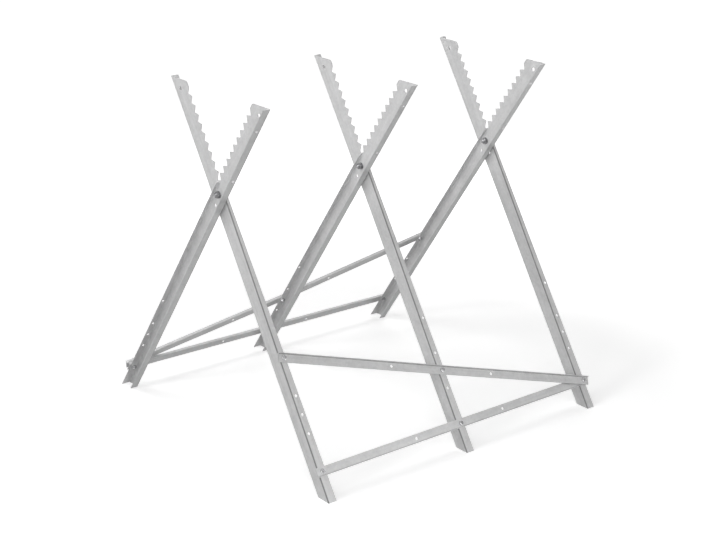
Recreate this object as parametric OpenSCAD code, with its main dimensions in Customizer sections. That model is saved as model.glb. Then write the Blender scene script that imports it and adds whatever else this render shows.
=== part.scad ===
// Log saw stand: three toothed X-frames of folded sheet steel, tied together by bolted
// braces, that fold up about one line of pivot bolts.
// Millimetres, +Z up, feet on Z = 0, X along the log, front towards -Y.

/* [Stand] */
// Height of the open stand
stand_h = 790; // [720:1:860]
// Distance from one X-frame to the next
frame_gap = 390; // [300:1:480]
// Tilt of every leg from upright when the stand is open
leg_tilt = 34; // [28:0.5:38]
// Height of the line of pivot bolts
pivot_h = 568; // [520:1:620]

/* [Leg sheet] */
// Thickness of the sheet
sheet_t = 1.5; // [1:0.1:2.5]
// Inside radius of the folds
fold_r = 1.5; // [1:0.1:3]
// Width of the long flange, outside
flange_w = 20; // [16:0.5:28]
// Width of the flat toothed part, from the long flange to the tooth tips
strip_w = 52; // [46:0.5:60]
// Distance of the pivot hole from the long flange's face
pivot_in = 27.5; // [22:0.5:32]
// Width of the web where the short flange starts
web_top_w = 43.5; // [38:0.5:46]
// Width of the web at the foot
web_foot_w = 31; // [26:0.5:38]
// Width of the short flange where it starts
lip_top_w = 8; // [5:0.5:12]
// Width of the short flange at the foot
lip_foot_w = 21.5; // [18:0.5:28]
// Length of the slanted start of the short flange
lip_slant = 2.5; // [2:0.5:15]
// Step from the lowest gullet to the start of the short flange
lip_gap = 6; // [3:0.5:12]
// Notch that lets the short flange's fold start in the web
fold_notch = 1; // [0.6:0.1:2]
// Play between the two webs of one X-frame
leg_play = 0.1; // [0.05:0.05:0.5]

/* [Teeth] */
// Number of teeth on one leg
tooth_n = 9; // [5:1:10]
// Distance from tooth to tooth
tooth_pitch = 21.6; // [16:0.2:23]
// Depth of the gullets
tooth_depth = 10.8; // [6:0.2:12]
// Flat on the tip of each tooth
tooth_flat = 1; // [0.4:0.1:3]
// Distance from the top corner down to the first tooth
nose_len = 35.2; // [30:0.2:45]
// Rounding of the top corner
nose_r = 8; // [3:0.5:12]

/* [Holes] */
// Distance from the foot to the lowest brace hole
foot_hole = 67; // [50:1:90]
// Step of the brace holes along the short flange
hole_step = 41.4; // [30:0.2:50]
// Distance of the brace holes from the web's face
lip_hole_in = 10; // [9.5:0.5:12]
// Distance of the top hole below the top edge
hook_drop = 25; // [18:1:35]
// Distance of the top hole from the long flange's face
hook_in = 21; // [15:1:30]
// Diameter of the top hole
hook_d = 8.5; // [6:0.5:12]
// Distance of the upper hole in the long flange below the top edge
eye_drop = 64; // [50:1:90]
// Distance between the two holes in the long flange
eye_gap = 149; // [100:1:170]
// Diameter of the holes in the long flange
eye_d = 7; // [5:0.5:9]
// Distance of the storage hole below the pivot
store_drop = 29; // [22:1:45]
// Distance of the storage hole from the long flange's face
store_in = 23.5; // [18:0.5:27]
// Diameter of the storage hole
store_d = 6.5; // [4:0.5:8]

/* [Braces] */
// Width of a brace
brace_w = 20; // [16:0.5:26]
// Width of the rim along a brace, outside
brace_rim = 7; // [4:0.5:10]
// Thickness of the brace sheet
brace_t = 1.5; // [1:0.1:2.5]
// Inside radius of the brace fold
brace_r = 1; // [0.5:0.1:2]
// Length of a brace beyond its last hole
brace_end = 14; // [11:0.5:22]
// Gap between an upper brace and what it lies on
brace_seat = 0.05; // [0.02:0.01:0.2]

/* [Fasteners] */
// Diameter of the pivot bolts
pivot_d = 8; // [6:0.5:10]
// Width across flats of the pivot bolts' heads and nuts
pivot_af = 13; // [11:0.5:17]
// Height of the pivot bolts' heads
pivot_head_h = 5.3; // [4:0.1:7]
// Height of the pivot bolts' lock nuts
pivot_nut_h = 8; // [5:0.5:10]
// Length of the pivot bolts beyond their nuts
pivot_out = 2.5; // [1:0.5:6]
// Diameter of the pivot washers
washer_d = 16; // [13:0.5:18]
// Thickness of the pivot washers
washer_t = 1.6; // [1:0.1:2.5]
// Play of a pivot bolt in its holes, on the radius
pivot_play = 0.05; // [0.02:0.01:0.1]
// Diameter of the brace bolts
bolt_d = 6; // [5:0.5:7]
// Width across flats of the brace bolts' heads and nuts
bolt_af = 10; // [8:0.5:11]
// Height of the brace bolts' heads
bolt_head_h = 4; // [3:0.1:5]
// Height of the brace nuts
bolt_nut_h = 5; // [4:0.1:6.5]
// Length of the brace bolts beyond their nuts
bolt_out = 2; // [1:0.5:5]
// Play of a brace bolt in its holes, on the radius
bolt_play = 0.3; // [0.1:0.05:0.5]
// Gap between a thread and its nut, on the radius
thread_play = 0.05; // [0.02:0.01:0.1]

/* [Hidden] */

$fn = 48;
frames = [-1, 0, 1];
galvanised = [0.78, 0.79, 0.80];
galvanised_dull = [0.70, 0.71, 0.72];
zinc = [0.62, 0.63, 0.65];

// Overlap of cuts, and length that is trimmed off
cut = 1;
spare = 40;

// A leg lies in its own frame: x up along it from the pivot, y across it from the pivot,
// z out of its web along the flanges.
function along(height, across) =
    (height - pivot_h - across * sin(leg_tilt)) / cos(leg_tilt);
face_y = -pivot_in;
tip_y = strip_w - pivot_in;
gullet_y = tip_y - tooth_depth;
nose_x = along(stand_h, tip_y);
function tip_x(i) = nose_x - nose_len - i * tooth_pitch;
lip_x = tip_x(tooth_n - 0.5) - lip_gap;
lip_y = web_top_w - pivot_in;
foot_y = web_foot_w - pivot_in;
foot_x = along(0, foot_y);
lip_lean = atan((lip_y - foot_y) / (lip_x - foot_x));
lip_len = (lip_x - foot_x) / cos(lip_lean);
fold_out = fold_r + sheet_t;
brace_fold = brace_r + brace_t;
pivot_hole_d = pivot_d + 2 * pivot_play;
bolt_hole_d = bolt_d + 2 * bolt_play;

// The short flange has its own frame: x up along its fold, y outward, z as on the leg.
function lip_point(x, y) = [
    lip_x + x * cos(lip_lean) - y * sin(lip_lean),
    lip_y + x * sin(lip_lean) + y * cos(lip_lean)
];
function lip_w(x) =
    lip_top_w + (lip_foot_w - lip_top_w) * (-x - lip_slant) / (lip_len - lip_slant);
// Brace holes by their step above the lowest one
hole_steps = [0, 2, 3, 4, 6];
function hole_x(step) = foot_hole + step * hole_step - lip_len;
low_step = 0;
middle_step = 3;
high_step = 6;

// The upper brace runs from the high hole of one end leg to the low hole of the other.
brace_span = 2 * frame_gap;
upper_rise = (high_step - low_step) * hole_step;
upper_slope = atan(upper_rise / brace_span);
upper_span = norm([brace_span, upper_rise]);
upper_half = upper_span / 2;
// It lies on the rim of the lower brace, which stands up on the rear side and hangs down on
// the front side. How far from their shared hole the two still meet:
function rim_lap(rim_up) = rim_up
    ? brace_w / 2 / tan(upper_slope / 2)
    : (brace_w / 2 / cos(upper_slope) - brace_w / 2 + brace_fold) / tan(upper_slope);
// Lift of the upper brace at the shared hole, its bend at the middle leg, and what that bend
// lifts at the corners of a bolt head
function shared_lift(rim_up) = brace_rim * upper_half / (upper_half - rim_lap(rim_up));
function upper_bend(rim_up) = atan(shared_lift(rim_up) / upper_half);
function bend_play(rim_up) = bolt_af / 2 / cos(30) * tan(upper_bend(rim_up));
// Shares of the hole-to-hole length at which a brace is drilled
brace_drill = [0, 1/3, 1/2, 2/3, 1];

// Brace joints: frame on the rear side, hole step, height of the bolt head's seat
lower_seat = brace_t + brace_seat;
high_seat = brace_t + 2 * brace_seat;
function middle_seat(rim_up) = high_seat + bend_play(rim_up);
function joints(rim_up) = [
    [-1, low_step, middle_seat(rim_up) + shared_lift(rim_up)],
    [0, low_step, lower_seat],
    [1, low_step, lower_seat],
    [0, middle_step, middle_seat(rim_up)],
    [1, high_step, high_seat]
];

// Places

module rear_leg_place(frame) {
    translate([frame * frame_gap - leg_play / 2, 0, pivot_h])
        rotate([leg_tilt, 0, 0])
            rotate([0, -90, 0]) children();
}

// The front side is the rear side turned half round.
module front_side() {
    rotate([0, 0, 180]) children();
}

// On the outer face of the rear legs' short flanges: x up, y outward, z towards -X
module rear_lip_place() {
    rear_leg_place(0)
        translate([lip_x, lip_y, 0])
            rotate([0, 0, lip_lean]) children();
}

module joint_place(joint) {
    rear_lip_place()
        translate([hole_x(joint[1]), 0, lip_hole_in - joint[0] * frame_gap])
            rotate([-90, 0, 0]) children();
}

// Along +X from the plane between the two webs of one X-frame
module pivot_place(frame) {
    translate([frame * frame_gap, 0, pivot_h])
        rotate([0, 90, 0]) children();
}

// Folded sheet

// Corner of sheet: web along +x from the fold, flange along +y, outside corner at 0
module fold_section(web, flange, thick, inner) {
    outer = inner + thick;
    far = web + flange;
    difference() {
        intersection() {
            square([web, flange]);
            union() {
                translate([outer, 0]) square(far);
                translate([0, outer]) square(far);
                translate([outer, outer]) circle(outer);
            }
        }
        translate([outer, thick]) square(far);
        translate([thick, outer]) square(far);
        translate([outer, outer]) circle(inner);
    }
}

// Lengthwise bar along x from a section in y and z
module bar_along_x(from, length) {
    translate([from, 0, 0])
        rotate([90, 0, 90])
            linear_extrude(length) children();
}

// Leg

module tooth_row_web() {
    notch_y = -fold_out - fold_notch / 2;
    bottom_x = foot_x - spare;
    top_x = along(stand_h, face_y) + spare;
    teeth = [for (i = [0 : tooth_n - 1], side = [0 : 2])
        side == 0 ? [tip_x(i - 0.5), gullet_y]
        : [tip_x(i) + (side == 1 ? 1 : -1) * tooth_flat / 2, tip_y]];
    polygon(concat(
        [
            [bottom_x, face_y + fold_out],
            [top_x, face_y + fold_out],
            [top_x, tip_y],
            [tip_x(-1) - tooth_flat / 2, tip_y]
        ],
        teeth,
        [
            [tip_x(tooth_n - 0.5), gullet_y],
            lip_point(fold_notch, notch_y),
            lip_point(-fold_notch, notch_y),
            lip_point(-fold_notch, -fold_out),
            lip_point(-lip_len - spare, -fold_out)
        ]
    ));
}

// What a rounded top corner loses
module nose_waste() {
    corner = [nose_x, tip_y];
    run = nose_r / tan(45 + leg_tilt / 2);
    centre = corner - [run, nose_r];
    top_edge = [sin(leg_tilt), -cos(leg_tilt)];
    difference() {
        polygon([
            corner - [run, 0],
            corner + [0, cut],
            corner + cut * [1, 1],
            corner + run * top_edge + [cut, 0],
            corner + run * top_edge,
            centre
        ]);
        translate(centre) circle(nose_r);
    }
}

module long_flange() {
    bottom_x = along(0, face_y) - spare;
    top_x = along(stand_h, face_y) + spare;
    translate([0, face_y, 0])
        bar_along_x(bottom_x, top_x - bottom_x)
            fold_section(fold_out + cut, flange_w, sheet_t, fold_r);
}

module short_flange() {
    run = lip_len + spare;
    translate([lip_x, lip_y, 0])
        rotate([0, 0, lip_lean])
            intersection() {
                bar_along_x(-run, run)
                    mirror([1, 0])
                        fold_section(fold_out + fold_notch, lip_w(-run), sheet_t, fold_r);
                translate([0, cut, 0])
                    rotate([90, 0, 0])
                        linear_extrude(fold_out + fold_notch + 2 * cut)
                            polygon([
                                [0, -cut],
                                [0, fold_out],
                                [-lip_slant, lip_top_w],
                                [-run, lip_w(-run)],
                                [-run, -cut]
                            ]);
            }
}

// Everything between the ground and the top, in a leg's own frame
module height_band() {
    reach = stand_h;
    rotate([0, 0, leg_tilt])
        translate([-pivot_h, -reach, -cut])
            cube([stand_h, 2 * reach, flange_w + lip_foot_w + 2 * cut]);
}

module web_drill(x, y, d) {
    translate([x, y, -cut]) cylinder(h = sheet_t + 2 * cut, d = d);
}

module flange_drill(x, z, d) {
    translate([x, sheet_t + cut, z])
        rotate([90, 0, 0]) cylinder(h = sheet_t + 2 * cut, d = d);
}

module leg() {
    hook_y = face_y + hook_in;
    eye_x = along(stand_h, face_y) - eye_drop;
    difference() {
        intersection() {
            union() {
                linear_extrude(sheet_t)
                    difference() {
                        tooth_row_web();
                        nose_waste();
                    }
                long_flange();
                short_flange();
            }
            height_band();
        }
        web_drill(0, 0, pivot_hole_d);
        web_drill(along(stand_h, hook_y) - hook_drop, hook_y, hook_d);
        web_drill(-store_drop, face_y + store_in, store_d);
        translate([0, face_y, 0])
            for (x = [eye_x, eye_x - eye_gap])
                flange_drill(x, flange_w / 2, eye_d);
        translate([lip_x, lip_y, 0])
            rotate([0, 0, lip_lean])
                for (step = hole_steps)
                    translate([0, -sheet_t, 0])
                        flange_drill(hole_x(step), lip_hole_in, bolt_hole_d);
    }
}

module rear_leg(frame) {
    color(galvanised_dull) rear_leg_place(frame) leg();
}

module front_leg(frame) {
    color(galvanised) front_side() rear_leg_place(-frame) leg();
}

// Braces

// Section of a brace: flat side on y = 0, rim on the +x edge, its fold made of short flats
fold_turns = [180, 202.5, 225, 247.5, 270];
function fold_point(radius, turn) = [
    brace_w / 2 - brace_fold - radius * cos(turn),
    brace_fold + radius * sin(turn)
];
brace_outline = concat(
    [[brace_w / 2, brace_rim], [brace_w / 2 - brace_t, brace_rim]],
    [for (turn = fold_turns) fold_point(brace_r, turn)],
    [[-brace_w / 2, brace_t], [-brace_w / 2, 0]],
    [for (i = [4 : -1 : 0]) fold_point(brace_fold, fold_turns[i])]
);

// Along +z from the first hole
module level_bar() {
    translate([0, 0, -brace_end])
        linear_extrude(brace_span + 2 * brace_end) polygon(brace_outline);
}

// Along +z from the high hole, bent outward at its middle: one run of points at each end and
// one on the plane that halves the bend
module bent_bar(bend) {
    n = len(brace_outline);
    far = upper_half / cos(bend) + brace_end;
    points = concat(
        [for (p = brace_outline) [p[0], p[1], -brace_end]],
        [for (p = brace_outline) [p[0], p[1], upper_half - p[1] * tan(bend / 2)]],
        [for (p = brace_outline) [
            p[0],
            p[1] * cos(bend) + far * sin(bend),
            upper_half - p[1] * sin(bend) + far * cos(bend)
        ]]
    );
    sides = [for (run = [0, n], i = [0 : n - 1])
        let (next = (i + 1) % n)
        [run + i, run + n + i, run + n + next, run + next]];
    ends = [[for (i = [0 : n - 1]) i], [for (i = [n - 1 : -1 : 0]) 2 * n + i]];
    polyhedron(points, concat(sides, ends));
}

module brace_drills(places) {
    for (z = places)
        translate([0, -cut, z])
            rotate([-90, 0, 0])
                cylinder(h = brace_t + 2 * cut, d = bolt_hole_d);
}

module level_brace() {
    difference() {
        level_bar();
        brace_drills(brace_drill * brace_span);
    }
}

module bent_brace(bend) {
    difference() {
        bent_bar(bend);
        brace_drills([for (share = brace_drill) if (share <= 1/2) share * upper_span]);
        translate([0, 0, upper_half])
            rotate([-bend, 0, 0])
                brace_drills([for (share = brace_drill) if (share > 1/2)
                    (share * upper_span - upper_half) / cos(bend)]);
    }
}

module lower_brace(rim_up) {
    rear_lip_place()
        translate([hole_x(low_step), 0, lip_hole_in - frame_gap])
            if (rim_up) level_brace();
            else mirror([1, 0, 0]) level_brace();
}

module upper_brace(rim_up) {
    rear_lip_place()
        translate([hole_x(high_step), brace_seat, lip_hole_in - frame_gap])
            rotate([0, -upper_slope, 0]) bent_brace(upper_bend(rim_up));
}

module rear_brace(upper) {
    color(galvanised_dull)
        if (upper) upper_brace(true);
        else lower_brace(true);
}

module front_brace(upper) {
    color(galvanised)
        front_side()
            if (upper) upper_brace(false);
            else lower_brace(false);
}

// Fasteners

module hex_bar(flats, height) {
    cylinder(h = height, d = flats / cos(30), $fn = 6);
}

// Head upward on z = 0
module hex_bolt(d, flats, head_h, shank) {
    hex_bar(flats, head_h);
    translate([0, 0, -shank]) cylinder(h = shank + head_h / 2, d = d);
}

// Downward from z = 0
module hex_nut(d, flats, height) {
    translate([0, 0, -height])
        difference() {
            hex_bar(flats, height);
            translate([0, 0, -cut])
                cylinder(h = height + 2 * cut, d = d + 2 * thread_play);
        }
}

module washer() {
    difference() {
        cylinder(h = washer_t, d = washer_d);
        translate([0, 0, -cut])
            cylinder(h = washer_t + 2 * cut, d = pivot_hole_d);
    }
}

// Distance of a web's inner face from the middle of its X-frame
web_face = leg_play / 2 + sheet_t;
pivot_grip = 2 * (web_face + washer_t);

module pivot_bolt(frame) {
    color(zinc)
        pivot_place(frame)
            translate([0, 0, web_face + washer_t])
                hex_bolt(pivot_d, pivot_af, pivot_head_h, pivot_grip + pivot_nut_h + pivot_out);
}

module pivot_nut(frame) {
    color(zinc)
        pivot_place(frame)
            translate([0, 0, -web_face - washer_t])
                hex_nut(pivot_d, pivot_af, pivot_nut_h);
}

module pivot_head_washer(frame) {
    color(zinc) pivot_place(frame) translate([0, 0, web_face]) washer();
}

module pivot_nut_washer(frame) {
    color(zinc) pivot_place(frame) translate([0, 0, -web_face - washer_t]) washer();
}

module joint_bolt(joint) {
    color(zinc)
        joint_place(joint)
            translate([0, 0, joint[2]])
                hex_bolt(bolt_d, bolt_af, bolt_head_h,
                    joint[2] + sheet_t + bolt_nut_h + bolt_out);
}

module joint_nut(joint) {
    color(zinc)
        joint_place(joint)
            translate([0, 0, -sheet_t])
                hex_nut(bolt_d, bolt_af, bolt_nut_h);
}

// Nodes

for (i = [1 : 3]) {
    front_leg(frames[i - 1]);
    rear_leg(frames[i - 1]);
    pivot_bolt(frames[i - 1]);
    pivot_nut(frames[i - 1]);
    pivot_head_washer(frames[i - 1]);
    pivot_nut_washer(frames[i - 1]);
}
front_brace(false);  // front_lower_brace
front_brace(true);  // front_upper_brace
rear_brace(false);  // rear_lower_brace
rear_brace(true);  // rear_upper_brace
for (i = [1 : 5]) {
    front_side() joint_bolt(joints(false)[i - 1]);
    front_side() joint_nut(joints(false)[i - 1]);
    joint_bolt(joints(true)[i - 1]);
    joint_nut(joints(true)[i - 1]);
}
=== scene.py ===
import math

import bmesh
import bpy
from mathutils import Matrix, Vector


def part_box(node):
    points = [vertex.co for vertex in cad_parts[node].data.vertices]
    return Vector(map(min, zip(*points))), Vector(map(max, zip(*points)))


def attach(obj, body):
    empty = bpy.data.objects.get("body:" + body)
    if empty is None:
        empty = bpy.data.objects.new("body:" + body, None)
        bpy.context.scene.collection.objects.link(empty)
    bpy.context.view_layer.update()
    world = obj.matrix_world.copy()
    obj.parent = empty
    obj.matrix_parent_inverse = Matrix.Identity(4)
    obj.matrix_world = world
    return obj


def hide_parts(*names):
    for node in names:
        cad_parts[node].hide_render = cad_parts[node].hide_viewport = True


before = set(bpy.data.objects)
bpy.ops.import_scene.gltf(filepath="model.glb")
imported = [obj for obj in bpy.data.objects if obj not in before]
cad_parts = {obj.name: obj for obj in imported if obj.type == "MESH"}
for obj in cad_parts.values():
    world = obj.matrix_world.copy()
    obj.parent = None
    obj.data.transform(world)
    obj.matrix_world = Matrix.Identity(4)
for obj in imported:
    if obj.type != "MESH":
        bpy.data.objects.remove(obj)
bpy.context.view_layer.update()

# Lie of the strips, for the direction of their rolling grain and for the bolts in them
LEG_TILT = math.radians(34)
LIP_TILT = math.radians(33)
UPPER_BRACE_SLOPE = math.radians(17.66)
BRACE_OUT = {
    "rear": Vector((0, math.cos(LIP_TILT), math.sin(LIP_TILT))),
    "front": Vector((0, -math.cos(LIP_TILT), math.sin(LIP_TILT))),
}

# Galvanised sheet: darkest and lightest zinc, and its patterns in repeats to the metre
SHEET_GREYS = (0.54, 0.54, 0.542), (0.78, 0.78, 0.783)
SHEET_GRAIN = 230
SHEET_STREAK = 70
SHEET_CLOUD = 38
SHEET_SPANGLE = 190
SHEET_METALLIC = 0.2
SHEET_RELIEF = (0.22, 0.0003)
GRAIN_STRETCH = 0.06
# Share of each pattern in the sheet's grey, and what is added to it
GRAIN_TONE = (0.55, -0.05)
STREAK_TONE = (0.6, -0.3)
CLOUD_TONE = (0.7, -0.35)
SPANGLE_TONE = (0.22, 0.15)
# The same for its roughness
SPANGLE_ROUGH = (0.10, 0.33)
CLOUD_ROUGH = (0.12, -0.06)

# Share of its brightness that the sheet loses on its folds, a painted dark reflection along each
# fold (only a little of it the real dulling of pressed zinc), and the roughness the pressed zinc
# gains
FOLD_PAINTED_SHADE = 0.65
FOLD_ROUGH = 0.3
# Cosines of the turn from the web at which a fold's painted dark line and rougher zinc set in and
# fade out
FOLD_OUTER = (0.1, 0.3)
FOLD_INNER = (0.99, 0.9)

# Zinc plate of the fasteners, darkest and lightest
PIVOT_GREYS = (0.17, 0.17, 0.175), (0.38, 0.38, 0.39)
BOLT_GREYS = (0.44, 0.44, 0.445), (0.66, 0.66, 0.67)
PLATE_GRAIN = 1400
PLATE_CLOUD = 260
PLATE_ROUGH = (0.2, 0.14)
PLATE_METALLIC = 0.95
PLATE_RELIEF = (0.15, 0.00005)

# Nylon of the lock nuts
NYLON_GREYS = (0.030, 0.030, 0.032), (0.060, 0.060, 0.063)
NYLON_CLOUD = 900
NYLON_ROUGHNESS = 0.45
NYLON_RELIEF = (0.1, 0.00005)

# Pivot bolts and their lock nuts, metres
PIVOT_D = 0.008
PIVOT_FLATS = 0.013
PIVOT_HEAD = 0.0053
PIVOT_PITCH = 0.00125
PIVOT_NUT = 0.008
PIVOT_HEX = 0.0056
COLLAR_INSET = 0.0007
COLLAR_STEP = 0.0001
COLLAR_ROLL = ((0, 0.0010), (0.0002, 0.0004), (0.0006, 0.0001), (0.0010, 0))
INSERT_WALL = 0.0011
INSERT_LOW = 0.0024
INSERT_HIGH = 0.0003
INSERT_SEAT = 0.0006
INSERT_EDGE = 0.0002

# Pivot washers
WASHER_D = 0.016
WASHER_T = 0.0016
WASHER_BORE = 0.0081
WASHER_ROLL = ((0, 0.0004), (0.00012, 0.00012), (0.0004, 0))
WASHER_EDGE = 0.0002

# Brace bolts and their nuts
BOLT_D = 0.006
BOLT_FLATS = 0.010
BOLT_HEAD = 0.004
BOLT_PITCH = 0.001
BOLT_NUT = 0.005

# Shared by all fasteners
RING_STEPS = 48
SHARP_EDGE = math.radians(32)
CHAMFER_SLOPE = math.tan(math.radians(30))
CHAMFER_SHARE = 0.94
WASHER_FACE = 0.0003
DISH_DEPTH = 0.00012
DISH_FLOOR = 0.82
DISH_RIM = 0.9
THREAD_SHARE = 0.61
THREAD_START = 0.45
TIP_CHAMFER = 0.5
BORE_PLAY = 1.005
BORE_MOUTH = 1.07
MOUTH_DEPTH = 0.0003
MERGE_GAP = 1e-6
CUT_GAP = 1e-7

# How far each fastener was turned when it was tightened: bolts in degrees, nuts past them in radians
PIVOT_TURNS = (8, 27, 45)
PIVOT_NUT_TURN = 0.4
BRACE_TURNS = (13, 41, 5, 29, 52)
BRACE_NUT_TURN = 0.7

# Camera of the photograph, metres and pixels
CAMERA_AZIMUTH = math.radians(39.878)
CAMERA_HEIGHT = math.radians(19.645)
CAMERA_ROLL = math.radians(1.4)
CAMERA_TARGET = Vector((0.000648, 0.004629, 0.315722))
CAMERA_DISTANCE = 3.6089
CAMERA_FOCAL_PX = 1553.488
CAMERA_REACH = 60
IMAGE_W = 716
SENSOR = 36.0

# Light
LAMP_AIM = Vector((0.0, 0.0, 0.45))
LAMPS = {
    # name: place, width in metres, watts
    "key lamp": (Vector((-9.2, 0.5, 5.0)), 2.4, 195),
    "top lamp": (Vector((-0.9, 0.5, 1.95)), 1.1, 13),
    "side lamp": (Vector((-2.4, -2.5, 1.9)), 3.2, 43),
    "front lamp": (Vector((-1.3, -2.3, 1.0)), 1.9, 12),
    "low lamp": (Vector((0.5, -1.4, 0.45)), 0.6, 2),
    "back lamp": (Vector((1.7, 1.0, 1.4)), 1.7, 13),
}
ROOM_LIGHT = 0.05

# Floor: its greys and glow near the object, then past the fade, and what it throws back
FLOOR_RADIUS = 9
FLOOR_STEPS = 96
FADE_START = 0.75
FADE_END = 1.5
FLOOR_GREYS = (0.8, 0.7)
FLOOR_GLOW = (0.53, 1)
FLOOR_BOUNCE = 0.25
FLOOR_ROUGHNESS = 0.9


# Nodes

def add_node(tree, kind, links=None, **values):
    """A shader node with its plain sockets set by name and the linked ones joined up."""
    made = tree.nodes.new(kind)
    for name, value in values.items():
        made.inputs[name.replace("_", " ")].default_value = value
    for name, source in (links or {}).items():
        tree.links.new(source, made.inputs[name])
    return made


def math_node(tree, operation, source):
    """A Math node with its first socket joined up."""
    made = tree.nodes.new("ShaderNodeMath")
    made.operation = operation
    tree.links.new(source, made.inputs[0])
    return made


def scaled(tree, source, gain, offset):
    """source times gain, plus offset."""
    made = math_node(tree, "MULTIPLY_ADD", source)
    made.inputs[1].default_value = gain
    made.inputs[2].default_value = offset
    return made.outputs[0]


def total(tree, first, second):
    made = math_node(tree, "ADD", first)
    tree.links.new(second, made.inputs[1])
    return made.outputs[0]


def coordinates(tree, kind):
    return tree.nodes.new("ShaderNodeTexCoord").outputs[kind]


def noise(tree, place, scale, detail, roughness):
    return add_node(tree, "ShaderNodeTexNoise", {"Vector": place},
                    Scale=scale, Detail=detail, Roughness=roughness).outputs["Fac"]


def grey_ramp(tree, source, greys):
    """Fades from the first grey to the second as source goes from 0 to 1."""
    ramp = tree.nodes.new("ShaderNodeValToRGB")
    for element, grey in zip(ramp.color_ramp.elements, greys):
        element.color = (*grey, 1)
    tree.links.new(source, ramp.inputs["Fac"])
    return ramp.outputs["Color"]


def raise_relief(tree, shader, height, strength, distance):
    bump = add_node(tree, "ShaderNodeBump", {"Height": height},
                    Strength=strength, Distance=distance)
    tree.links.new(bump.outputs["Normal"], shader.inputs["Normal"])


def new_material(name):
    material = bpy.data.materials.new(name)
    material.use_nodes = True
    return material, material.node_tree, material.node_tree.nodes["Principled BSDF"]


# Finishes

def strip_coordinates(tree, turn):
    """Object coordinates turned so that z runs along a strip, then squeezed along it."""
    turned = add_node(tree, "ShaderNodeMapping", {"Vector": coordinates(tree, "Object")},
                      Rotation=turn)
    return add_node(tree, "ShaderNodeMapping", {"Vector": turned.outputs["Vector"]},
                    Scale=(1, 1, GRAIN_STRETCH)).outputs["Vector"]


# Mask for the painted dark reflection and the rougher zinc along a strip's folds
def fold_shade_and_wear_mask(tree, side):
    """1 on the folds next to that side of a strip's web, 0 on all its flats."""
    lean = tree.nodes.new("ShaderNodeVectorMath")
    lean.operation = "DOT_PRODUCT"
    tree.links.new(coordinates(tree, "Normal"), lean.inputs[0])
    lean.inputs[1].default_value = side
    start = add_node(tree, "ShaderNodeMapRange", {"Value": lean.outputs["Value"]},
                     From_Min=FOLD_OUTER[0], From_Max=FOLD_OUTER[1])
    return add_node(tree, "ShaderNodeMapRange",
                    {"Value": lean.outputs["Value"], "To Max": start.outputs["Result"]},
                    From_Min=FOLD_INNER[0], From_Max=FOLD_INNER[1]).outputs["Result"]


def galvanised_sheet(name, turn, side):
    """Hot-dip galvanised strip: rolling grain along it, zinc spangle, cloudy patches, and a painted
    dark reflection with rougher zinc on the fold next to the given side of its web."""
    material, tree, shader = new_material(name)
    along = strip_coordinates(tree, turn)
    plain = coordinates(tree, "Object")
    grain = noise(tree, along, SHEET_GRAIN, 4, 0.6)
    streak = noise(tree, along, SHEET_STREAK, 2, 0.5)
    cloud = noise(tree, plain, SHEET_CLOUD, 4, 0.55)
    flake = add_node(tree, "ShaderNodeTexVoronoi", {"Vector": plain},
                     Scale=SHEET_SPANGLE, Randomness=1)
    split = add_node(tree, "ShaderNodeSeparateColor", {"Color": flake.outputs["Color"]})
    spangle = split.outputs["Red"]

    tone = total(tree, scaled(tree, grain, *GRAIN_TONE), scaled(tree, streak, *STREAK_TONE))
    tone = total(tree, tone, scaled(tree, cloud, *CLOUD_TONE))
    tone = total(tree, tone, scaled(tree, spangle, *SPANGLE_TONE))
    # Folds darkened by a painted dark reflection, and made rougher where the zinc was pressed
    fold_shade_and_wear = fold_shade_and_wear_mask(tree, side)
    fold_shaded = add_node(tree, "ShaderNodeHueSaturation",
                      {"Color": grey_ramp(tree, tone, SHEET_GREYS),
                       "Value": scaled(tree, fold_shade_and_wear, -FOLD_PAINTED_SHADE, 1)})
    tree.links.new(fold_shaded.outputs["Color"], shader.inputs["Base Color"])

    rough = total(tree, scaled(tree, spangle, *SPANGLE_ROUGH), scaled(tree, cloud, *CLOUD_ROUGH))
    rough = total(tree, rough, scaled(tree, fold_shade_and_wear, FOLD_ROUGH, 0))
    tree.links.new(rough, shader.inputs["Roughness"])

    relief = total(tree, scaled(tree, grain, 0.7, 0), scaled(tree, spangle, 0.3, 0))
    raise_relief(tree, shader, relief, *SHEET_RELIEF)
    shader.inputs["Metallic"].default_value = SHEET_METALLIC
    return material


def zinc_plate(name, greys):
    """Zinc plating on small steel, with a fine drawn grain and duller specks."""
    material, tree, shader = new_material(name)
    plain = coordinates(tree, "Object")
    grain = noise(tree, plain, PLATE_GRAIN, 3, 0.6)
    cloud = noise(tree, plain, PLATE_CLOUD, 2, 0.5)
    tone = total(tree, scaled(tree, grain, 0.5, 0), scaled(tree, cloud, 0.5, 0))
    tree.links.new(grey_ramp(tree, tone, greys), shader.inputs["Base Color"])
    tree.links.new(scaled(tree, cloud, *PLATE_ROUGH), shader.inputs["Roughness"])
    raise_relief(tree, shader, grain, *PLATE_RELIEF)
    shader.inputs["Metallic"].default_value = PLATE_METALLIC
    return material


def nylon(name):
    """Dark nylon of a lock nut's ring."""
    material, tree, shader = new_material(name)
    cloud = noise(tree, coordinates(tree, "Object"), NYLON_CLOUD, 2, 0.5)
    tree.links.new(grey_ramp(tree, cloud, NYLON_GREYS), shader.inputs["Base Color"])
    raise_relief(tree, shader, cloud, *NYLON_RELIEF)
    shader.inputs["Roughness"].default_value = NYLON_ROUGHNESS
    return material


# Fastener shapes: built along +z, seat at z = 0

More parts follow.
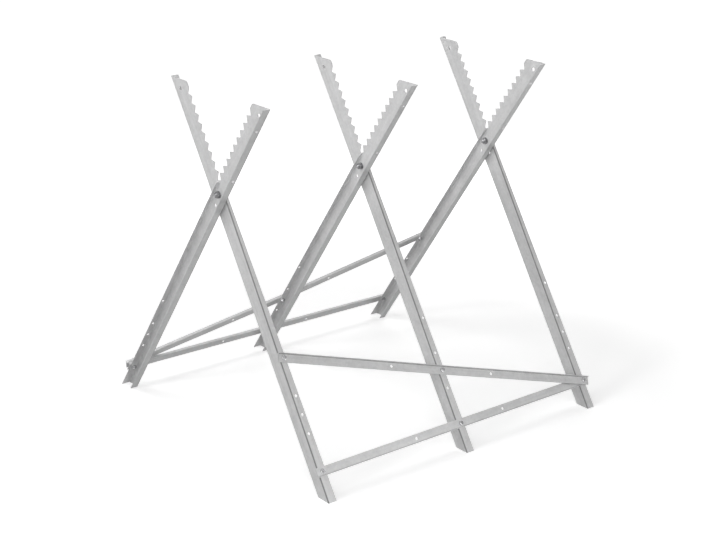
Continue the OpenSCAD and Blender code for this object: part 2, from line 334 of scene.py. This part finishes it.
def ring_loop(bm, radius, height, flats=0, chamfer=0):
    """A closed loop of edges. With flats it follows a hexagon, and chamfer, +1 at the top and
    -1 at the bottom, lets its corners drop back from the end as a turned chamfer does."""
    made = bmesh.ops.create_circle(bm, cap_ends=False, segments=RING_STEPS, radius=1)["verts"]
    for vert in made:
        angle = math.atan2(vert.co.y, vert.co.x)
        reach = radius
        if flats:
            side = (angle + math.pi / 6) % (math.pi / 3) - math.pi / 6
            reach = flats / 2 / math.cos(side)
        drop = max(0, reach - CHAMFER_SHARE * flats / 2) * CHAMFER_SLOPE if chamfer else 0
        vert.co = (reach * math.cos(angle), reach * math.sin(angle), height - chamfer * drop)
    return list({edge for vert in made for edge in vert.link_edges})


def turned_shell(bm, loops, closed):
    """Bridges the loops in turn: closed makes a ring, otherwise both ends are capped."""
    pairs = list(zip(loops, loops[1:] + loops[:1] if closed else loops[1:]))
    for first, second in pairs:
        bmesh.ops.bridge_loops(bm, edges=first + second)
    if not closed:
        for loop in (loops[0], loops[-1]):
            bmesh.ops.contextual_create(bm, geom=loop)
    bmesh.ops.recalc_face_normals(bm, faces=bm.faces)


def thread_end(bm, d, pitch, top, tip):
    """Threaded end of a bolt from z = top down to z = tip: a spun zigzag, trimmed and closed."""
    start = set(bm.verts)
    outer = d / 2
    root = outer - THREAD_SHARE * pitch
    turns = int((top - tip) / pitch) + 4
    low = tip - 2 * pitch
    profile = []
    for i in range(2 * turns + 1):
        profile.append(bm.verts.new((outer if i % 2 else root, 0, low + i * pitch / 2)))
    edges = [bm.edges.new(pair) for pair in zip(profile, profile[1:])]
    bmesh.ops.spin(bm, geom=profile + edges, cent=(0, 0, 0), axis=(0, 0, 1),
                   dvec=(0, 0, pitch / RING_STEPS), angle=math.tau, steps=RING_STEPS)
    new = [v for v in bm.verts if v not in start]
    bmesh.ops.remove_doubles(bm, verts=new, dist=MERGE_GAP)
    for height, outside in ((top, 1), (tip, -1)):
        own = [v for v in bm.verts if v not in start]
        geom = own + list({e for v in own for e in v.link_edges})
        geom += list({f for v in own for f in v.link_faces})
        cut = bmesh.ops.bisect_plane(bm, geom=geom, dist=CUT_GAP, plane_co=(0, 0, height),
                                     plane_no=(0, 0, outside), clear_outer=True)
        rim = [e for e in cut["geom_cut"] if isinstance(e, bmesh.types.BMEdge)]
        if outside < 0:
            chamfer_tip(bm, rim, d, pitch)
        else:
            bmesh.ops.contextual_create(bm, geom=rim)


def chamfer_tip(bm, rim, d, pitch):
    """Draws the last rim of the thread in to a smaller flat end."""
    grown = bmesh.ops.extrude_edge_only(bm, edges=rim)["geom"]
    end = [v for v in grown if isinstance(v, bmesh.types.BMVert)]
    for vert in end:
        flat = Vector((vert.co.x, vert.co.y, 0)).normalized() * (d / 2 - pitch)
        vert.co = (flat.x, flat.y, vert.co.z - TIP_CHAMFER * pitch)
    edges = [e for e in grown if isinstance(e, bmesh.types.BMEdge)]
    bmesh.ops.contextual_create(bm, geom=edges)


def hex_bolt_shape(d, flats, head, pitch, length):
    """Head up from the seat, plain shank below it and a threaded end."""
    bm = bmesh.new()
    face = CHAMFER_SHARE * flats / 2
    thread_top = -length * THREAD_START
    turned_shell(bm, [
        ring_loop(bm, face * DISH_FLOOR, head - DISH_DEPTH),
        ring_loop(bm, face * DISH_RIM, head),
        ring_loop(bm, face, head),
        ring_loop(bm, 0, head, flats, 1),
        ring_loop(bm, 0, WASHER_FACE, flats),
        ring_loop(bm, face, WASHER_FACE),
        ring_loop(bm, face, 0),
        ring_loop(bm, d / 2, 0),
        ring_loop(bm, d / 2, thread_top),
    ], False)
    thread_end(bm, d, pitch, thread_top, TIP_CHAMFER * pitch - length)
    return bm


def plain_nut_shape(d, flats, height):
    """Hexagon nut, chamfered at both ends and round the bore."""
    bm = bmesh.new()
    face = CHAMFER_SHARE * flats / 2
    bore = d / 2
    turned_shell(bm, [
        ring_loop(bm, bore * BORE_MOUTH, 0),
        ring_loop(bm, face, 0),
        ring_loop(bm, 0, 0, flats, -1),
        ring_loop(bm, 0, height, flats, 1),
        ring_loop(bm, face, height),
        ring_loop(bm, bore * BORE_MOUTH, height),
        ring_loop(bm, bore * BORE_PLAY, height - MOUTH_DEPTH),
        ring_loop(bm, bore * BORE_PLAY, MOUTH_DEPTH),
    ], True)
    return bm


def lock_nut_shape(d, flats, height):
    """Lock nut: hexagon below, round collar above that is rolled in over its nylon ring."""
    bm = bmesh.new()
    face = CHAMFER_SHARE * flats / 2
    bore = d / 2
    pocket = bore + INSERT_WALL
    collar = flats / 2 - COLLAR_INSET
    turned_shell(bm, [
        ring_loop(bm, bore * BORE_MOUTH, 0),
        ring_loop(bm, face, 0),
        ring_loop(bm, 0, 0, flats, -1),
        ring_loop(bm, 0, PIVOT_HEX, flats, 1),
        ring_loop(bm, collar, PIVOT_HEX + COLLAR_STEP),
        *[ring_loop(bm, collar - inward, height - down) for inward, down in COLLAR_ROLL],
        ring_loop(bm, pocket, height - COLLAR_STEP),
        ring_loop(bm, pocket, height - INSERT_SEAT),
        ring_loop(bm, bore * BORE_PLAY, height - INSERT_SEAT),
        ring_loop(bm, bore * BORE_PLAY, MOUTH_DEPTH),
    ], True)
    steel_faces = set(bm.faces)
    low, high = height - INSERT_LOW, height - INSERT_HIGH
    turned_shell(bm, [
        ring_loop(bm, pocket, low),
        ring_loop(bm, pocket, high),
        ring_loop(bm, bore + INSERT_EDGE, high),
        ring_loop(bm, bore, high - INSERT_EDGE),
        ring_loop(bm, bore, low),
    ], True)
    for f in bm.faces:
        f.material_index = 0 if f in steel_faces else 1
    return bm


def washer_shape():
    """Punched washer with one rolled and one sharp side."""
    bm = bmesh.new()
    rim, bore = WASHER_D / 2, WASHER_BORE / 2
    turned_shell(bm, [
        ring_loop(bm, bore, 0),
        ring_loop(bm, rim, 0),
        *[ring_loop(bm, rim - inward, WASHER_T - down) for inward, down in WASHER_ROLL],
        ring_loop(bm, bore + WASHER_EDGE, WASHER_T),
        ring_loop(bm, bore, WASHER_T - WASHER_EDGE),
    ], True)
    return bm


# Fitting pieces to the frame

def centre_of(node):
    low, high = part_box(node)
    return (low + high) / 2


def reach_along(node, axis):
    """Lowest and highest point of a CAD node along an axis."""
    along = [vert.co.dot(axis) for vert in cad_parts[node].data.vertices]
    return min(along), max(along)


def seat_on_axis(node, axis, height):
    """The point on a node's own axis line at that height along it."""
    middle = centre_of(node)
    return middle + axis * (height - middle.dot(axis))


def add_object(name, data):
    made = bpy.data.objects.new(name, data)
    bpy.context.scene.collection.objects.link(made)
    return made


def add_mesh(name, bm, finishes):
    mesh = bpy.data.meshes.new(name)
    bm.to_mesh(mesh)
    bm.free()
    for finish in finishes:
        mesh.materials.append(finish)
    return add_object(name, mesh)


def fit_piece(name, bm, seat, axis, turn, finishes, body, nodes):
    """Turns a shape built along +z on to its axis, and puts it in place of its CAD node."""
    lie = axis.to_track_quat("Z", "Y").to_matrix().to_4x4()
    place = Matrix.Translation(seat) @ lie @ Matrix.Rotation(turn, 4, "Z")
    bmesh.ops.transform(bm, matrix=place, verts=bm.verts)
    bmesh.ops.recalc_face_normals(bm, faces=bm.faces)
    piece = add_mesh(name, bm, finishes)
    piece.data.set_sharp_from_angle(angle=SHARP_EDGE)
    for polygon in piece.data.polygons:
        polygon.use_smooth = True
    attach(piece, body)
    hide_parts(*nodes)


def fit_pivot(number, zinc, ring):
    """Bolt, two washers and lock nut of one crossing, the nut towards -X."""
    axis = Vector((1, 0, 0))
    turn = math.radians(PIVOT_TURNS[number - 1])
    bolt = f"pivot_bolt_{number}"
    tip, top = reach_along(bolt, axis)
    seat = top - PIVOT_HEAD
    fit_piece(f"pivot_hex_bolt_{number}",
              hex_bolt_shape(PIVOT_D, PIVOT_FLATS, PIVOT_HEAD, PIVOT_PITCH, seat - tip),
              seat_on_axis(bolt, axis, seat), axis, turn, [zinc], "front_frame", [bolt])
    nut = f"pivot_nut_{number}"
    inner = reach_along(nut, axis)[1]
    fit_piece(f"pivot_lock_nut_{number}",
              lock_nut_shape(PIVOT_D, PIVOT_FLATS, PIVOT_NUT),
              seat_on_axis(nut, axis, inner), -axis, turn + PIVOT_NUT_TURN, [zinc, ring],
              "front_frame", [nut])
    for side, outward in (("head", axis), ("nut", -axis)):
        node = f"pivot_{side}_washer_{number}"
        inner = reach_along(node, outward)[0]
        fit_piece(f"pivot_{side}_side_washer_{number}", washer_shape(),
                  seat_on_axis(node, outward, inner), outward, turn, [zinc],
                  "front_frame", [node])


def fit_brace_bolt(side, number, axis, zinc):
    """Bolt of one brace joint, head outward, and its nut inside the leg."""
    turn = math.radians(BRACE_TURNS[number - 1])
    body = f"{side}_frame"
    bolt = f"{side}_brace_bolt_{number}"
    nut = f"{side}_brace_nut_{number}"
    tip, top = reach_along(bolt, axis)
    seat = top - BOLT_HEAD
    fit_piece(f"{side}_brace_hex_bolt_{number}",
              hex_bolt_shape(BOLT_D, BOLT_FLATS, BOLT_HEAD, BOLT_PITCH, seat - tip),
              seat_on_axis(nut, axis, seat), axis, turn, [zinc], body, [bolt])
    outer = reach_along(nut, axis)[1]
    fit_piece(f"{side}_brace_hex_nut_{number}",
              plain_nut_shape(BOLT_D, BOLT_FLATS, BOLT_NUT),
              seat_on_axis(nut, axis, outer), -axis, turn + BRACE_NUT_TURN, [zinc], body, [nut])


def finish_sheet(node, finish):
    """Gives a folded strip from the frame its finish."""
    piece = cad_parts[node]
    piece.data.materials.clear()
    piece.data.materials.append(finish)


def dress_strips():
    """The front frame's strips, then the rear frame's, which lie the other way round."""
    level = (0, -math.pi / 2, 0)
    rise = math.pi / 2 - UPPER_BRACE_SLOPE
    for side, way in (("front", 1), ("rear", -1)):
        leg = galvanised_sheet(f"galvanised {side} leg", (way * LEG_TILT, 0, 0), (-way, 0, 0))
        lower = galvanised_sheet(f"galvanised {side} lower brace", level, BRACE_OUT[side])
        upper = galvanised_sheet(f"galvanised {side} upper brace",
                                 (way * LIP_TILT, way * rise, 0), BRACE_OUT[side])
        for number in (1, 2, 3):
            finish_sheet(f"{side}_leg_{number}", leg)
        finish_sheet(f"{side}_lower_brace", lower)
        finish_sheet(f"{side}_upper_brace", upper)


def dress_fasteners():
    """Dull zinc on the pivots, bright zinc on the brace bolts."""
    dull = zinc_plate("zinc plated pivot steel", PIVOT_GREYS)
    bright = zinc_plate("zinc plated bolt steel", BOLT_GREYS)
    ring = nylon("nylon lock ring")
    for number in (1, 2, 3):
        fit_pivot(number, dull, ring)
    for side, axis in BRACE_OUT.items():
        for number in (1, 2, 3, 4, 5):
            fit_brace_bolt(side, number, axis, bright)


# Studio

def seen_directly(tree):
    """1 for camera, glossy and transmission rays, 0 for the rays that light the object."""
    path = tree.nodes.new("ShaderNodeLightPath")
    seen = total(tree, path.outputs["Is Camera Ray"], path.outputs["Is Glossy Ray"])
    seen = total(tree, seen, path.outputs["Is Transmission Ray"])
    top = math_node(tree, "MINIMUM", seen)
    top.inputs[1].default_value = 1
    return top.outputs[0]


def white_room():
    """White where it is seen, and a faint light from all round."""
    world = bpy.data.worlds.new("white room")
    bpy.context.scene.world = world
    world.use_nodes = True
    tree = world.node_tree
    background = tree.nodes["Background"]
    background.inputs["Color"].default_value = (1, 1, 1, 1)
    strength = scaled(tree, seen_directly(tree), 1 - ROOM_LIGHT, ROOM_LIGHT)
    tree.links.new(strength, background.inputs["Strength"])


def floor_finish():
    """White where it is seen, grey where it throws light back, and glowing as white as the room
    away from the object."""
    material, tree, shader = new_material("pale floor")
    seen = seen_directly(tree)
    out = tree.nodes.new("ShaderNodeVectorMath")
    out.operation = "LENGTH"
    tree.links.new(coordinates(tree, "Object"), out.inputs[0])
    for socket, (near, far), unseen in (("Base Color", FLOOR_GREYS, FLOOR_BOUNCE),
                                        ("Emission Strength", FLOOR_GLOW, 0)):
        shown = add_node(tree, "ShaderNodeMapRange", {"Value": out.outputs["Value"]},
                         From_Min=FADE_START, From_Max=FADE_END, To_Min=near, To_Max=far)
        value = add_node(tree, "ShaderNodeMapRange",
                         {"Value": seen, "To Max": shown.outputs["Result"]}, To_Min=unseen)
        tree.links.new(value.outputs["Result"], shader.inputs[socket])
    shader.inputs["Roughness"].default_value = FLOOR_ROUGHNESS
    shader.inputs["Specular IOR Level"].default_value = 0
    shader.inputs["Emission Color"].default_value = (1, 1, 1, 1)
    return material


def pale_floor():
    """Round floor that keeps the object's shadow."""
    bm = bmesh.new()
    bmesh.ops.create_circle(bm, cap_ends=True, segments=FLOOR_STEPS, radius=FLOOR_RADIUS)
    floor = add_mesh("studio_floor", bm, [floor_finish()])


def soft_lamp(name, place, size, power):
    data = bpy.data.lights.new(name, "AREA")
    data.shape = "DISK"
    data.size = size
    data.energy = power
    lamp = add_object(name, data)
    lamp.location = place
    lamp.rotation_euler = (LAMP_AIM - place).to_track_quat("-Z", "Y").to_euler()


def photo_camera():
    """Camera at the place, turn and lens that were fitted to the photograph."""
    data = bpy.data.cameras.new("photo camera")
    data.sensor_width = SENSOR
    data.sensor_fit = "HORIZONTAL"
    data.lens = CAMERA_FOCAL_PX * SENSOR / IMAGE_W
    data.clip_end = CAMERA_REACH
    flat = math.cos(CAMERA_HEIGHT)
    back = Vector((-math.sin(CAMERA_AZIMUTH) * flat, -math.cos(CAMERA_AZIMUTH) * flat,
                   math.sin(CAMERA_HEIGHT)))
    right = Vector((math.cos(CAMERA_AZIMUTH), -math.sin(CAMERA_AZIMUTH), 0))
    up = back.cross(right)
    turned_right = math.cos(CAMERA_ROLL) * right + math.sin(CAMERA_ROLL) * up
    turned_up = math.cos(CAMERA_ROLL) * up - math.sin(CAMERA_ROLL) * right
    turn = Matrix((turned_right, turned_up, back)).transposed().to_4x4()
    camera = add_object("photo camera", data)
    camera.matrix_world = Matrix.Translation(CAMERA_TARGET + back * CAMERA_DISTANCE) @ turn
    bpy.context.scene.camera = camera


photo_camera()
white_room()
pale_floor()
for lamp_name, (lamp_place, lamp_size, lamp_power) in LAMPS.items():
    soft_lamp(lamp_name, lamp_place, lamp_size, lamp_power)
dress_strips()
dress_fasteners()

bpy.context.scene.view_settings.view_transform = "Standard"
